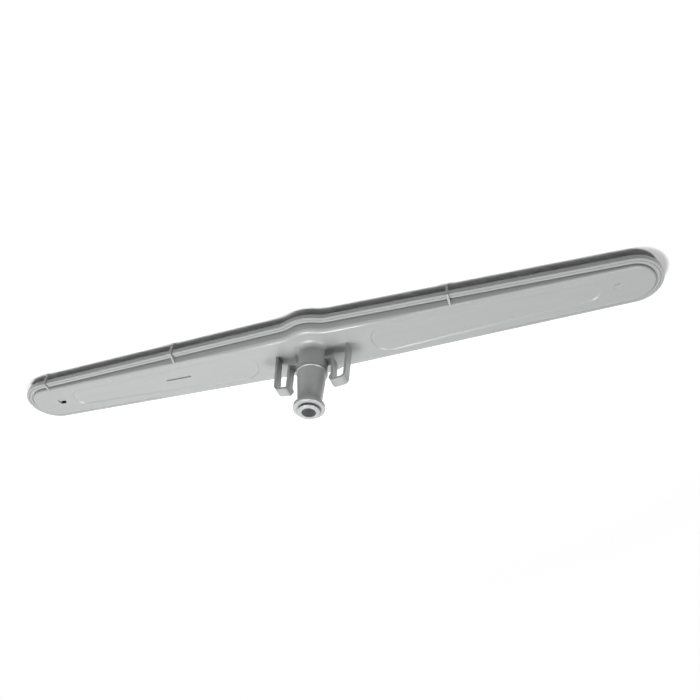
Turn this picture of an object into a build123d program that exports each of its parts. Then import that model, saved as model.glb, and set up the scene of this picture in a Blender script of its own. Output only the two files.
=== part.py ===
from build123d import *
import os
from math import asin, atan2, cos, radians, sin, tan

# Dishwasher spray arm lying on its spray face, with the hub spout standing up.
# Millimetres. X runs along the arm, Z is the axis that the arm spins about in the appliance.

# Outline of the arm, seen along the spin axis
arm_length = 460.0
hub_half_width = 25.3
tip_radius = 19.0
swell_rise = 3.1
swell_blend = 16.0

# Heights of the two mouldings, from the spray face up
spray_depth = 6.2
lower_flange = 1.8
upper_flange = 1.8
crown_rise = 5.8
tip_rise = 1.5
crown_half_length = 32.0
crown_blend = 600.0

# Section of the mouldings
wall = 2.0
spray_edge_break = 1.2
rim_land = 4.8
lip_width = 2.0
lip_gap = 0.15
gutter_width = 1.0
gutter_depth = 0.9
plate_draft = 14.0
crest_round = 1.5
hub_round = 4.5
hub_round_margin = 0.2
rim_edge_break = 0.4
joint_edge_break = 0.2

# Sunk panels on the two halves of the plate
panel_start = 41.3
panel_tip_setback = 38.5
panel_start_radius = 12.7
panel_end_radius = 7.8
panel_depth = 0.6
panel_wall_slope = 60.0

# Raised bar in one panel
bar_start = 94.0
bar_length = 19.4
bar_width = 1.3
bar_height = 1.1

# Drive jets near the tips
jet_tip_setback = 28.0
jet_scoop_radius = 3.0
jet_scoop_depth = 1.4
jet_slot_length = 5.0
jet_slot_height = 1.9
jet_slot_offset = 1.3
jet_slot_reach = 4.0
jet_angle = 45.0

# Lugs that hook over the joined edge
lug_reach = 99.0
lug_tip_setback = 25.0
lug_thickness = 1.4
lug_leg = 1.0
lug_nose_rise = 1.2
lug_drop = 3.0
lug_clearance = 0.1

# Hub socket
socket_radius = 10.5
socket_height = 17.6
socket_wall = 2.1
socket_base_round = 4.0

# Looped snap clips beside the socket
clip_width = 8.0
clip_strip = 1.5
clip_shoulder_reach = 25.0
clip_lean = 1.3
clip_leg_reach = 14.9
clip_height = 29.3
clip_ridge_rise = 1.1
clip_ledge_height = 9.3
clip_ledge_bend = 1.6
clip_shoulder_bend = 3.2
clip_ridge_bend = 0.9
barb_depth = 1.3
barb_tip_drop = 2.8
barb_heel_drop = 6.2

# Inlet spout
spout_plug_length = 15.0
spout_plug_clearance = 0.1
spout_plug_wall = 2.0
seat_width = 1.2
collar_gap = 0.5
collar_overhang = 0.05
collar_lip = 0.9
neck_radius = 7.8
tube_length = 25.85
bead_rise = 0.9
bead_height = 0.9
spout_flange_radius = 10.4
spout_flange_thickness = 2.6
mouth_radius = 7.5
mouth_neck_radius = 6.4
mouth_rise = 2.65
mouth_lip = 1.0
inlet_bore_radius = 4.65
inlet_bore_length = 14.0
spout_bevel_run = 0.7
spout_bevel_drop = 0.4

# Key that stops the spout turning in its socket
key_angle = -68.0
key_width = 3.0
key_depth = 2.0
key_setback = 0.2
key_clearance = 0.1

# Spray outlets in the spray face
outlet_start = 62.0
outlet_pitch = 28.0
outlet_stagger = 14.0
outlet_tip_setback = 22.0
round_jet_radius = 1.6
slot_jet_length = 11.0
slot_jet_width = 2.4
slot_jet_offset = 5.0
slot_jet_turn = 25.0

# Levels and places worked out from the sizes above
parting_level = spray_depth + lower_flange
rim_level = parting_level + upper_flange
crown_level = rim_level + crown_rise
tip_level = rim_level + tip_rise
arm_reach = arm_length / 2
tip_centre = arm_reach - tip_radius
swell_radius = hub_half_width + swell_rise
edge_angle = asin((hub_half_width - tip_radius) / tip_centre)
fall_angle = atan2(crown_rise - tip_rise, arm_reach - crown_half_length)
socket_top = crown_level + socket_height
socket_bore = socket_radius - socket_wall
plug_radius = socket_bore - spout_plug_clearance
plug_bore = plug_radius - spout_plug_wall
plug_level = socket_top - spout_plug_length
collar_radius = socket_radius + collar_overhang
collar_level = socket_top + collar_gap
tube_level = collar_level + collar_lip
neck_level = tube_level + tube_length
flange_level = neck_level + bead_height
flange_top = flange_level + spout_flange_thickness
mouth_level = flange_top + mouth_rise
overlap = wall / 2


def tapered_slot(start, start_radius, end, end_radius):
    """Face bounded by two arcs on the X axis and the straight lines that touch both."""
    slope = asin((start_radius - end_radius) / (end - start))
    near = Vector(start + start_radius * sin(slope), start_radius * cos(slope))
    far = Vector(end + end_radius * sin(slope), end_radius * cos(slope))
    with BuildSketch() as slot:
        with BuildLine():
            Line((near.X, -near.Y), (far.X, -far.Y))
            ThreePointArc((far.X, -far.Y), (end + end_radius, 0), far)
            Line(far, near)
            ThreePointArc(near, (start - start_radius, 0), (near.X, -near.Y))
        make_face()
    return slot.sketch


def arm_outline(inset):
    """Outline of the arm set in by a parallel distance, with the round swelling at the hub."""
    half = tapered_slot(0, hub_half_width - inset, tip_centre, tip_radius - inset)
    with BuildSketch() as outline:
        add(half)
        add(half, rotation=180)
        Circle(swell_radius - inset)
        inner_corners = outline.vertices().filter_by(lambda v: abs(v.X) < swell_radius)
        fillet(inner_corners, swell_blend + inset)
    return outline.sketch


def crown_side(drop):
    """Side view of the space under the plate's top, lowered by a drop: level at the hub, then falling."""
    with BuildSketch(Plane.XZ) as side:
        with BuildLine():
            Polyline(
                (-arm_reach, 0),
                (-arm_reach, tip_level - drop),
                (-crown_half_length, crown_level - drop),
                (crown_half_length, crown_level - drop),
                (arm_reach, tip_level - drop),
                (arm_reach, 0),
                close=True,
            )
        make_face()
        fillet(side.vertices().filter_by(lambda v: abs(v.X) < tip_centre), crown_blend)
    return side.sketch


def half_plane(end):
    """Plane on the falling half of the plate, its x axis pointing out to the tip at end 1 or -1."""
    return Plane(
        origin=(end * crown_half_length, 0, crown_level),
        x_dir=(end * cos(fall_angle), 0, -sin(fall_angle)),
        z_dir=(end * sin(fall_angle), 0, cos(fall_angle)),
    )


def along_half(reach):
    """Distance along the falling half of the plate for a distance from the spin axis."""
    return (reach - crown_half_length) / cos(fall_angle)


def edge_distance(reach):
    """Distance of the rim's straight edge from the arm's centre line."""
    return (hub_half_width - reach * sin(edge_angle)) / cos(edge_angle)


def plate_level(reach):
    """Height of the plate's top on the falling half."""
    return crown_level - (reach - crown_half_length) * tan(fall_angle)


def ring_edge(piece, radius, level):
    """Circular edge of a piece that comes closest to a radius and a level."""
    rings = piece.edges().filter_by(GeomType.CIRCLE)
    return rings.sort_by(lambda e: abs(e.radius - radius) + abs(e.center().Z - level))[0]


def key_outline(width_margin, reach):
    """Rectangle of the spout's key, from inside the plug's wall out to a distance from the axis."""
    root = plug_radius - spout_plug_wall / 2
    with BuildSketch() as outline:
        with Locations(((root + reach) / 2, 0)):
            Rectangle(reach - root, key_width + 2 * width_margin)
    return outline.sketch


def jet_hollow(end):
    """Hollow of a drive jet: a round scoop that deepens to one side, and the slot that feeds it."""
    plate = half_plane(end)
    along = along_half(arm_reach - jet_tip_setback)
    centre = plate.from_local_coords((along, 0, 0))
    mouth = plate.from_local_coords((along, jet_slot_offset, 0))
    way = plate.z_dir * sin(radians(jet_angle)) - plate.y_dir * cos(radians(jet_angle))
    with BuildPart() as hollow:
        with BuildSketch(Plane(centre, x_dir=plate.y_dir, z_dir=plate.x_dir)):
            with BuildLine():
                Polyline(
                    (jet_scoop_radius, overlap),
                    (jet_scoop_radius, -jet_scoop_depth),
                    (-jet_scoop_radius, 0),
                    (-jet_scoop_radius, overlap),
                    close=True,
                )
            make_face()
        extrude(amount=jet_scoop_radius, both=True)
        with BuildSketch(Plane(centre, x_dir=plate.x_dir, z_dir=plate.z_dir)):
            Circle(jet_scoop_radius)
        extrude(amount=jet_scoop_depth + overlap, both=True, mode=Mode.INTERSECT)
        with BuildSketch(Plane(mouth, x_dir=plate.x_dir, z_dir=way)):
            SlotOverall(jet_slot_length, jet_slot_height)
        extrude(amount=jet_slot_reach, both=True)
    return hollow.part


# Water channel under the plate, used to hollow the hub shell
with BuildPart() as hub_channel:
    with BuildSketch(Plane.XY.offset(parting_level)):
        add(arm_outline(rim_land + wall))
    extrude(amount=upper_flange)
    with BuildSketch(Plane.XY.offset(rim_level)):
        add(arm_outline(rim_land + wall))
    extrude(amount=crown_rise, taper=plate_draft)
    extrude(crown_side(wall), amount=swell_radius, both=True, mode=Mode.INTERSECT)

# Block with a large round, which trims the plate's edge near the hub
with BuildPart() as hub_rounding:
    with BuildSketch(Plane.XY.offset(rim_level)):
        add(arm_outline(rim_land - hub_round_margin))
    extrude(amount=crown_rise + hub_round_margin, taper=plate_draft)
    fillet(hub_rounding.faces().sort_by(Axis.Z)[-1].edges(), hub_round)

# Hub shell: plate, upper flange, socket, clips, lugs and drive jets in one moulding
with BuildPart() as hub_shell:
    with BuildSketch(Plane.XY.offset(rim_level)):
        add(arm_outline(rim_land))
    extrude(amount=crown_rise + overlap, taper=plate_draft)
    extrude(crown_side(0), amount=swell_radius, both=True, mode=Mode.INTERSECT)
    plate_tops = hub_shell.faces().filter_by(lambda f: f.normal_at().Z > cos(radians(plate_draft)))
    fillet(plate_tops.edges().filter_by(Axis.Y, reverse=True), crest_round)
    add(hub_rounding.part, mode=Mode.INTERSECT)

    with BuildSketch(Plane.XY.offset(parting_level)):
        add(arm_outline(lip_width + lip_gap))
    extrude(amount=upper_flange)
    rim_top = hub_shell.faces().filter_by(Axis.Z).sort_by(lambda f: abs(f.center().Z - rim_level))[0]
    chamfer(rim_top.outer_wire().edges(), joint_edge_break)

    with BuildSketch(Plane.XY.offset(rim_level)):
        add(arm_outline(rim_land - gutter_width))
        add(arm_outline(rim_land), mode=Mode.SUBTRACT)
    extrude(amount=-gutter_depth, mode=Mode.SUBTRACT)
    add(hub_channel.part, mode=Mode.SUBTRACT)

    for end in (1, -1):
        panel_centre = along_half(panel_start) + panel_start_radius
        panel_tip = along_half(arm_reach - panel_tip_setback) - panel_end_radius
        with BuildSketch(half_plane(end)):
            add(tapered_slot(panel_centre, panel_start_radius, panel_tip, panel_end_radius))
        extrude(amount=-panel_depth, taper=panel_wall_slope, mode=Mode.SUBTRACT)

    with BuildSketch(half_plane(1).offset(-panel_depth)):
        with Locations((along_half(bar_start) + bar_length / 2, 0)):
            SlotOverall(bar_length, bar_width)
    extrude(amount=bar_height)

    with BuildSketch(Plane.XY.offset(crown_level - overlap)):
        Circle(socket_radius)
    extrude(amount=socket_height + overlap)
    fillet(ring_edge(hub_shell, socket_radius, crown_level), socket_base_round)

    with BuildSketch(Plane.XZ):
        with BuildLine():
            leg_line = clip_leg_reach + clip_strip / 2
            ledge_line = crown_level + clip_ledge_height
            cap_line = crown_level + clip_height - clip_strip / 2
            FilletPolyline(
                (socket_radius - socket_wall / 2, ledge_line),
                (leg_line, ledge_line),
                (leg_line, cap_line + clip_ridge_rise),
                (clip_shoulder_reach - clip_strip / 2, cap_line),
                (clip_shoulder_reach + clip_lean - clip_strip / 2, crown_level - overlap),
                radius=[clip_ledge_bend, clip_ridge_bend, clip_shoulder_bend],
            )
        trace(line_width=clip_strip)
        with BuildLine():
            ridge_level = crown_level + clip_height + clip_ridge_rise
            Polyline(
                (clip_leg_reach + clip_strip, ridge_level - clip_strip / 2),
                (clip_leg_reach + clip_strip / 2, ridge_level),
                (clip_leg_reach - barb_depth, ridge_level - barb_tip_drop),
                (clip_leg_reach, ridge_level - barb_heel_drop),
                (clip_leg_reach + clip_strip / 2, ridge_level - barb_heel_drop),
                close=True,
            )
        make_face()
        mirror(about=Plane.YZ)
    extrude(amount=clip_width / 2, both=True)

    with BuildSketch(Plane.XY.offset(crown_level - wall - overlap)):
        Circle(socket_bore)
    extrude(amount=socket_height + wall + 2 * overlap, mode=Mode.SUBTRACT)

    add([jet_hollow(1), jet_hollow(-1)], mode=Mode.SUBTRACT)

    for reach in (lug_reach, -lug_reach, arm_reach - lug_tip_setback):
        edge = edge_distance(abs(reach))
        flange_edge = edge - lip_width - lip_gap
        leg_face = edge + lug_clearance
        root_rise = plate_level(abs(reach)) - rim_level - crest_round / 2
        root = edge - rim_land - root_rise * tan(radians(plate_draft))
        with BuildSketch(Plane((reach, 0, 0), x_dir=(0, -1, 0), z_dir=(-1, 0, 0))):
            with BuildLine():
                Polyline(
                    (edge - rim_land - overlap, rim_level - gutter_depth),
                    (flange_edge, rim_level - gutter_depth),
                    (flange_edge, rim_level + lug_clearance),
                    (leg_face, rim_level + lug_clearance),
                    (leg_face, spray_depth - lug_drop),
                    (leg_face + lug_leg, spray_depth - lug_drop),
                    (leg_face + lug_leg, rim_level + lug_nose_rise),
                    (root, rim_level + root_rise),
                    (root - overlap, rim_level + root_rise),
                    close=True,
                )
            make_face()
        extrude(amount=lug_thickness / 2, both=True)

    with BuildSketch(Plane.XY.offset(socket_top).rotated((0, 0, key_angle))):
        add(key_outline(key_clearance, socket_radius + key_clearance))
    extrude(amount=-(key_depth + key_clearance), mode=Mode.SUBTRACT)

# Spray shell: shallow tray with a flange, a lip round the hub shell's edge and the spray outlets
with BuildPart() as spray_shell:
    with BuildSketch():
        add(arm_outline(rim_land))
    extrude(amount=parting_level)
    chamfer(spray_shell.faces().sort_by(Axis.Z)[0].edges(), spray_edge_break)
    with BuildSketch(Plane.XY.offset(spray_depth)):
        add(arm_outline(0))
    extrude(amount=lower_flange + upper_flange)
    with BuildSketch(Plane.XY.offset(parting_level)):
        add(arm_outline(lip_width))
    extrude(amount=upper_flange, mode=Mode.SUBTRACT)
    lip_top = spray_shell.faces().sort_by(Axis.Z)[-1]
    chamfer(lip_top.outer_wire().edges(), rim_edge_break)
    lip_top = spray_shell.faces().sort_by(Axis.Z)[-1]
    chamfer(lip_top.inner_wires()[0].edges(), joint_edge_break)
    with BuildSketch(Plane.XY.offset(wall)):
        add(arm_outline(rim_land + wall))
    extrude(amount=parting_level, mode=Mode.SUBTRACT)

    for end, first in ((1, outlet_start), (-1, outlet_start + outlet_stagger)):
        last_place = int((arm_reach - outlet_tip_setback - first) / outlet_pitch)
        places = [end * (first + step * outlet_pitch) for step in range(last_place + 1)]
        with BuildSketch():
            with Locations(*[(place, 0) for place in places[::2]]):
                Circle(round_jet_radius)
            for turn, place in enumerate(places[1::2]):
                side = end if turn % 2 else -end
                with Locations((place, side * slot_jet_offset)):
                    SlotOverall(slot_jet_length, slot_jet_width, rotation=side * slot_jet_turn)
        extrude(amount=wall, mode=Mode.SUBTRACT)

# Inlet spout: tapered tube with a collar, an end flange and a raised mouth
with BuildPart() as inlet_spout:
    with BuildSketch(Plane.XZ):
        with BuildLine():
            Polyline(
                (plug_bore, plug_level),
                (plug_radius, plug_level),
                (plug_radius, socket_top),
                (socket_bore + seat_width, socket_top),
                (socket_bore + seat_width, collar_level),
                (collar_radius, collar_level),
                (collar_radius, tube_level - spout_bevel_drop),
                (collar_radius - spout_bevel_run, tube_level),
                (neck_radius, neck_level),
                (neck_radius + bead_rise, neck_level),
                (neck_radius + bead_rise, flange_level),
                (spout_flange_radius, flange_level),
                (spout_flange_radius, flange_top - spout_bevel_drop),
                (spout_flange_radius - spout_bevel_run, flange_top),
                (mouth_neck_radius, flange_top),
                (mouth_neck_radius, mouth_level - mouth_lip),
                (mouth_radius, mouth_level - mouth_lip),
                (mouth_radius, mouth_level - spout_bevel_drop),
                (mouth_radius - spout_bevel_run, mouth_level),
                (inlet_bore_radius, mouth_level),
                (inlet_bore_radius, mouth_level - inlet_bore_length),
                (plug_bore, mouth_level - inlet_bore_length),
                close=True,
            )
        make_face()
    revolve(axis=Axis.Z)
    with BuildSketch(Plane.XY.offset(collar_level).rotated((0, 0, key_angle))):
        add(key_outline(0, socket_radius - key_setback))
    extrude(amount=-(collar_gap + key_depth))

os.makedirs("parts", exist_ok=True)
for name, piece in (
    ("hub_shell", hub_shell.part),
    ("spray_shell", spray_shell.part),
    ("inlet_spout", inlet_spout.part),
):
    piece.label = name
    export_step(piece, f"parts/{name}.step")
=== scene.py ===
"""Looks of a dishwasher spray arm: moulded finishes, a pale floor, soft light and the camera.

Lengths are in metres, or in millimetres where the name ends in mm. Angles are in degrees.
"""

import logging
from dataclasses import dataclass, field
from enum import Enum
from math import cos, radians, sin
from typing import Any

import bpy
from mathutils import Matrix, Vector

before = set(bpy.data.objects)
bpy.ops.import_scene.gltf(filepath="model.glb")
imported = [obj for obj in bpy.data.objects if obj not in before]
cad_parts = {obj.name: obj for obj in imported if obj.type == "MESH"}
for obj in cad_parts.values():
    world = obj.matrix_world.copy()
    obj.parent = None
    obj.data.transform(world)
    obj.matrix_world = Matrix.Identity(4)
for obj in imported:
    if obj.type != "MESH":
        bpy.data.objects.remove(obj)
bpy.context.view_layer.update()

LOG = logging.getLogger("spray_arm")
MM = 0.001
PHOTO_PIXELS = 700
WHITE = (1.0, 1.0, 1.0, 1.0)

# Curve from sRGB to linear light
CHANNEL_MAX = 255
SRGB_KNEE = 0.04045
SRGB_SLOPE = 12.92
SRGB_OFFSET = 0.055
SRGB_POWER = 2.4


class Piece(Enum):
    """Nodes of the spray arm, by the names that the CAD frame gives them."""

    HUB_SHELL = "hub_shell"
    SPRAY_SHELL = "spray_shell"
    INLET_SPOUT = "inlet_spout"


def linear(hex_colour: str) -> tuple[float, float, float, float]:
    """Turn an sRGB hex colour into linear light.

    Args:
        hex_colour: Six hex digits after a hash sign.

    Returns:
        Linear red, green and blue, with an alpha of one.
    """
    levels = [int(hex_colour[place:place + 2], 16) / CHANNEL_MAX for place in (1, 3, 5)]
    red, green, blue = (
        level / SRGB_SLOPE
        if level <= SRGB_KNEE
        else ((level + SRGB_OFFSET) / (1 + SRGB_OFFSET)) ** SRGB_POWER
        for level in levels
    )
    return red, green, blue, 1.0


def per_metre(size_mm: float) -> float:
    """Pattern scale that repeats once in a size given in millimetres."""
    return 1 / (size_mm * MM)


def add_node(
    tree: bpy.types.NodeTree,
    kind: str,
    settings: dict[str, Any] | None = None,
    inputs: dict[str | int, Any] | None = None,
) -> bpy.types.Node:
    """Add a node with its settings and inputs.

    Args:
        tree: Tree that gets the node.
        kind: Type name of the node.
        settings: Properties of the node.
        inputs: Values and sockets by input. A socket is linked and a value is set.

    Returns:
        The new node.
    """
    node = tree.nodes.new(kind)
    for name, value in (settings or {}).items():
        setattr(node, name, value)
    for key, value in (inputs or {}).items():
        if isinstance(value, bpy.types.NodeSocket):
            tree.links.new(value, node.inputs[key])
        else:
            node.inputs[key].default_value = value
    return node


@dataclass(frozen=True)
class MouldedPolypropylene:
    """Mineral-filled polypropylene, injection moulded in a grey colour.

    The tool's spark-eroded skin gives a fine even grain and a satin gloss. The filler gives
    faint streaks along the flow, and the gloss drifts a little over the face. Edges are a
    little round, as moulded ones are.
    """

    name: str
    colour: str
    streak_colour: str
    roughness: float
    roughness_drift: float = 0.03
    streak_length_mm: float = 70.0
    streak_width_mm: float = 9.0
    streak_octaves: float = 3.0
    streak_gain: float = 0.55
    drift_mm: float = 26.0
    drift_octaves: float = 2.0
    grain_mm: float = 0.45
    grain_octaves: float = 2.0
    grain_height_mm: float = 0.005
    edge_round_mm: float = 0.2
    edge_samples: int = 8
    ior: float = 1.49

    def build(self) -> bpy.types.Material:
        """Make the material.

        Returns:
            A node material on Object coordinates.
        """
        material = bpy.data.materials.new(self.name)
        material.use_nodes = True
        tree = material.node_tree
        shader = tree.nodes["Principled BSDF"]
        shader.inputs["IOR"].default_value = self.ior
        place = add_node(tree, "ShaderNodeTexCoord").outputs["Object"]
        tree.links.new(self._colour(tree, place), shader.inputs["Base Color"])
        tree.links.new(self._roughness(tree, place), shader.inputs["Roughness"])
        tree.links.new(self._grain(tree, place), shader.inputs["Normal"])
        return material

    def _colour(
        self, tree: bpy.types.NodeTree, place: bpy.types.NodeSocket
    ) -> bpy.types.NodeSocket:
        """Streaks of the filler, drawn out along the arm.

        Args:
            tree: Tree of the material.
            place: Object coordinates.

        Returns:
            The colour output.
        """
        across = per_metre(self.streak_width_mm)
        stretched = add_node(
            tree,
            "ShaderNodeMapping",
            inputs={"Vector": place, "Scale": (per_metre(self.streak_length_mm), across, across)},
        )
        streaks = add_node(
            tree,
            "ShaderNodeTexNoise",
            inputs={
                "Vector": stretched.outputs["Vector"],
                "Scale": 1.0,
                "Detail": self.streak_octaves,
                "Roughness": self.streak_gain,
            },
        )
        blend = add_node(
            tree,
            "ShaderNodeMix",
            {"data_type": "RGBA"},
            {
                "Factor": streaks.outputs["Fac"],
                "A": linear(self.colour),
                "B": linear(self.streak_colour),
            },
        )
        return blend.outputs["Result"]

    def _roughness(
        self, tree: bpy.types.NodeTree, place: bpy.types.NodeSocket
    ) -> bpy.types.NodeSocket:
        """Gloss that drifts slowly over the face.

        Args:
            tree: Tree of the material.
            place: Object coordinates.

        Returns:
            The roughness output.
        """
        drift = add_node(
            tree,
            "ShaderNodeTexNoise",
            inputs={
                "Vector": place,
                "Scale": per_metre(self.drift_mm),
                "Detail": self.drift_octaves,
            },
        )
        spread = add_node(
            tree,
            "ShaderNodeMapRange",
            inputs={
                "Value": drift.outputs["Fac"],
                "To Min": self.roughness - self.roughness_drift,
                "To Max": self.roughness + self.roughness_drift,
            },
        )
        return spread.outputs["Result"]

    def _grain(
        self, tree: bpy.types.NodeTree, place: bpy.types.NodeSocket
    ) -> bpy.types.NodeSocket:
        """Grain of the spark-eroded tool, over round edges.

        The grain is drawn a little coarser than life so that it shows.

        Args:
            tree: Tree of the material.
            place: Object coordinates.

        Returns:
            The normal output.
        """
        grit = add_node(
            tree,
            "ShaderNodeTexNoise",
            inputs={
                "Vector": place,
                "Scale": per_metre(self.grain_mm),
                "Detail": self.grain_octaves,
            },
        )
        rounded = add_node(
            tree,
            "ShaderNodeBevel",
            {"samples": self.edge_samples},
            {"Radius": self.edge_round_mm * MM},
        )
        bump = add_node(
            tree,
            "ShaderNodeBump",
            inputs={
                "Height": grit.outputs["Fac"],
                "Distance": self.grain_height_mm * MM,
                "Strength": 1.0,
                "Normal": rounded.outputs["Normal"],
            },
        )
        return bump.outputs["Normal"]


# The shells come from a spark-eroded tool, which gives wide, soft highlights
HUB_FINISH = MouldedPolypropylene(
    "polypropylene_satin_hub", colour="#b4b6b5", streak_colour="#acaead", roughness=0.31
)
SPRAY_FINISH = MouldedPolypropylene(
    "polypropylene_satin_spray", colour="#b2b4b3", streak_colour="#aaacab", roughness=0.33
)
# The spout comes from a smoother tool, which gives narrower, brighter highlights
SPOUT_FINISH = MouldedPolypropylene(
    "polypropylene_smooth_spout", colour="#bcbebe", streak_colour="#b5b7b7", roughness=0.23
)


@dataclass
class SprayArm:
    """The three moulded pieces and the finish of each."""

    finishes: dict[Piece, MouldedPolypropylene] = field(
        default_factory=lambda: {
            Piece.HUB_SHELL: HUB_FINISH,
            Piece.SPRAY_SHELL: SPRAY_FINISH,
            Piece.INLET_SPOUT: SPOUT_FINISH,
        }
    )

    def dress(self) -> None:
        """Give each piece its finish."""
        for piece, finish in self.finishes.items():
            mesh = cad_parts[piece.value].data
            mesh.materials.clear()
            mesh.materials.append(finish.build())
            LOG.info("%s: %s", piece.value, finish.name)


@dataclass(frozen=True)
class Softbox:
    """A square soft lamp that faces the arm.

    The azimuth turns from +Y towards +X, and the power is in watts.
    """

    name: str
    azimuth: float
    elevation: float
    distance: float
    side: float
    power: float

    def build(self, target: Vector) -> None:
        """Hang the lamp and point it.

        Args:
            target: Point that the lamp faces.
        """
        turn, lift = radians(self.azimuth), radians(self.elevation)
        out = Vector((sin(turn) * cos(lift), cos(turn) * cos(lift), sin(lift)))
        lamp = bpy.data.lights.new(self.name, "AREA")
        lamp.shape = "SQUARE"
        lamp.size = self.side
        lamp.energy = self.power
        holder = bpy.data.objects.new(self.name, lamp)
        holder.location = target + out * self.distance
        holder.rotation_euler = out.to_track_quat("Z", "Y").to_euler()
        bpy.context.scene.collection.objects.link(holder)
        LOG.info("lamp %s at %s", self.name, tuple(round(value, 3) for value in holder.location))


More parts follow.
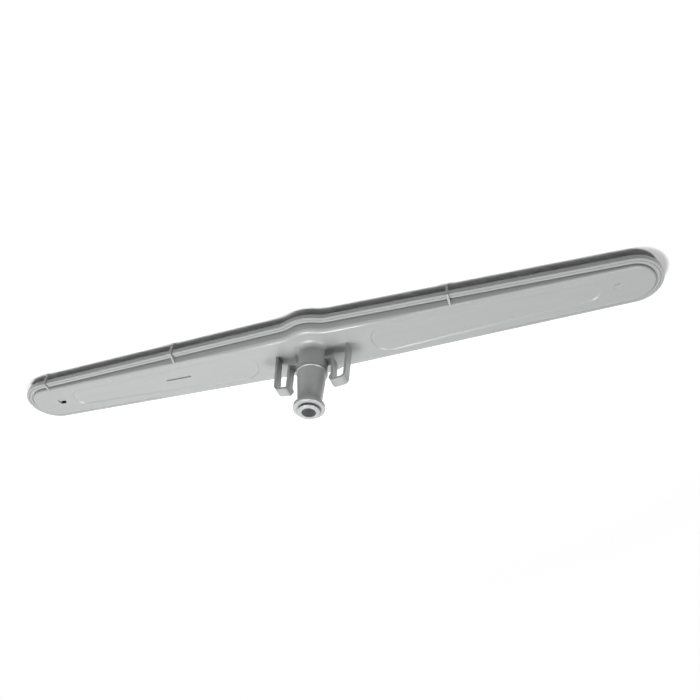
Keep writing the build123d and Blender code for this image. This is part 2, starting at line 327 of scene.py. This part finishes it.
@dataclass
class Studio:
    """Pale floor, soft lamps and a white surround.

    The card keeps the arm's shadow out to the shadow reach and is plain white from the white
    reach on. The zenith is the strength of the surround's light overhead.
    """

    floor_reach: float = 4.0
    floor_drop_mm: float = 0.05
    card_albedo: float = 0.62
    card_shown: float = 1.12
    shadow_reach: float = 0.26
    white_reach: float = 0.42
    zenith: float = 0.03
    aim_height: float = 0.02
    lamps: tuple[Softbox, ...] = (
        Softbox("near_softbox", 104.0, 75.0, distance=1.1, side=0.3, power=7.0),
        Softbox("far_softbox", 267.0, 68.0, distance=2.2, side=0.4, power=18.5),
        Softbox("front_softbox", 145.0, 70.0, distance=0.9, side=0.3, power=1.2),
        Softbox("back_softbox", 42.0, 42.0, distance=1.3, side=0.6, power=1.0),
    )

    def build(self) -> None:
        """Make the floor, the surround and the lamps."""
        self._floor()
        self._surround()
        for lamp in self.lamps:
            lamp.build(Vector((0.0, 0.0, self.aim_height)))

    def _floor(self) -> None:
        """Lay the floor under the arm, white to the camera and still showing the arm's shadow."""
        reach, level = self.floor_reach, -self.floor_drop_mm * MM
        sides = ((-1, -1), (1, -1), (1, 1), (-1, 1))
        mesh = bpy.data.meshes.new("floor")
        mesh.from_pydata([(x * reach, y * reach, level) for x, y in sides], [], [(0, 1, 2, 3)])
        floor = bpy.data.objects.new("floor", mesh)
        bpy.context.scene.collection.objects.link(floor)
        mesh.materials.append(self._floor_material())

    def _floor_material(self) -> bpy.types.Material:
        """White card, a little whiter where it is looked at, and plain white away from the arm.

        Returns:
            The floor's material.
        """
        material = bpy.data.materials.new("white_card")
        material.use_nodes = True
        tree = material.node_tree
        tree.nodes.clear()
        seen = self._seen(tree)
        tone = add_node(
            tree,
            "ShaderNodeMapRange",
            inputs={"Value": seen, "To Min": self.card_albedo, "To Max": self.card_shown},
        )
        card = add_node(tree, "ShaderNodeBsdfDiffuse", inputs={"Color": tone.outputs["Result"]})
        white = add_node(tree, "ShaderNodeEmission", inputs={"Color": WHITE, "Strength": 1.0})
        place = add_node(tree, "ShaderNodeTexCoord").outputs["Object"]
        away = add_node(tree, "ShaderNodeVectorMath", {"operation": "LENGTH"}, {0: place})
        fade = add_node(
            tree,
            "ShaderNodeMapRange",
            inputs={
                "Value": away.outputs["Value"],
                "From Min": self.shadow_reach,
                "From Max": self.white_reach,
                "To Max": seen,
            },
        )
        sweep = add_node(
            tree,
            "ShaderNodeMixShader",
            inputs={
                0: fade.outputs["Result"],
                1: card.outputs["BSDF"],
                2: white.outputs["Emission"],
            },
        )
        add_node(tree, "ShaderNodeOutputMaterial", inputs={"Surface": sweep.outputs["Shader"]})
        return material

    def _surround(self) -> None:
        """Light that fades from overhead to the horizon, and plain white where it is looked at."""
        world = bpy.data.worlds.new("studio")
        bpy.context.scene.world = world
        world.use_nodes = True
        tree = world.node_tree
        tree.nodes.clear()
        place = add_node(tree, "ShaderNodeTexCoord").outputs["Generated"]
        height = add_node(tree, "ShaderNodeSeparateXYZ", inputs={"Vector": place}).outputs["Z"]
        fade = add_node(
            tree, "ShaderNodeMapRange", inputs={"Value": height, "To Max": self.zenith}
        )
        strength = add_node(
            tree,
            "ShaderNodeMapRange",
            inputs={"Value": self._seen(tree), "To Min": fade.outputs["Result"], "To Max": 1.0},
        )
        sky = add_node(
            tree,
            "ShaderNodeBackground",
            inputs={"Color": WHITE, "Strength": strength.outputs["Result"]},
        )
        add_node(tree, "ShaderNodeOutputWorld", inputs={"Surface": sky.outputs["Background"]})

    @staticmethod
    def _seen(tree: bpy.types.NodeTree) -> bpy.types.NodeSocket:
        """Tell rays that show the background from rays that carry light.

        Args:
            tree: Tree of the floor or of the surround.

        Returns:
            One for camera, glossy and transmission rays, and zero for the others.
        """
        path = add_node(tree, "ShaderNodeLightPath")
        mirror = add_node(
            tree,
            "ShaderNodeMath",
            {"operation": "MAXIMUM"},
            {0: path.outputs["Is Glossy Ray"], 1: path.outputs["Is Transmission Ray"]},
        )
        either = add_node(
            tree,
            "ShaderNodeMath",
            {"operation": "MAXIMUM"},
            {0: path.outputs["Is Camera Ray"], 1: mirror.outputs["Value"]},
        )
        return either.outputs["Value"]


@dataclass(frozen=True)
class PhotoCamera:
    """Camera of the photograph, which was then turned upside down.

    Yaw turns from +Y towards +X, pitch looks down, and roll turns the picture about the view.
    """

    position_mm: tuple[float, float, float] = (-168.87, -381.39, 385.14)
    yaw: float = 20.498
    pitch: float = 41.943
    roll: float = 2.568
    focal_pixels: float = 816.13
    sensor_mm: float = 36.0
    clip_start_mm: float = 10.0

    def build(self) -> None:
        """Place the camera and make it the scene's own."""
        yaw, pitch, roll = radians(self.yaw), radians(self.pitch), radians(self.roll)
        ahead = Vector((sin(yaw) * cos(pitch), cos(yaw) * cos(pitch), -sin(pitch)))
        level = Vector((cos(yaw), -sin(yaw), 0.0))
        above = level.cross(ahead)
        right = level * cos(roll) + above * sin(roll)
        up = above * cos(roll) - level * sin(roll)
        lens = bpy.data.cameras.new("photo_camera")
        lens.sensor_width = self.sensor_mm
        lens.lens = self.focal_pixels / PHOTO_PIXELS * self.sensor_mm
        lens.clip_start = self.clip_start_mm * MM
        camera = bpy.data.objects.new("photo_camera", lens)
        turned = Matrix((-right, -up, -ahead)).transposed()
        camera.matrix_world = Matrix.Translation(Vector(self.position_mm) * MM) @ turned.to_4x4()
        bpy.context.scene.collection.objects.link(camera)
        bpy.context.scene.camera = camera
        LOG.info("camera lens %.2f mm", lens.lens)


def main() -> None:
    """Dress the arm, light it and set the camera."""
    logging.basicConfig(level=logging.INFO, format="%(name)s: %(message)s")
    bpy.context.scene.view_settings.view_transform = "Standard"
    SprayArm().dress()
    Studio().build()
    PhotoCamera().build()


if __name__ == "__main__":
    main()
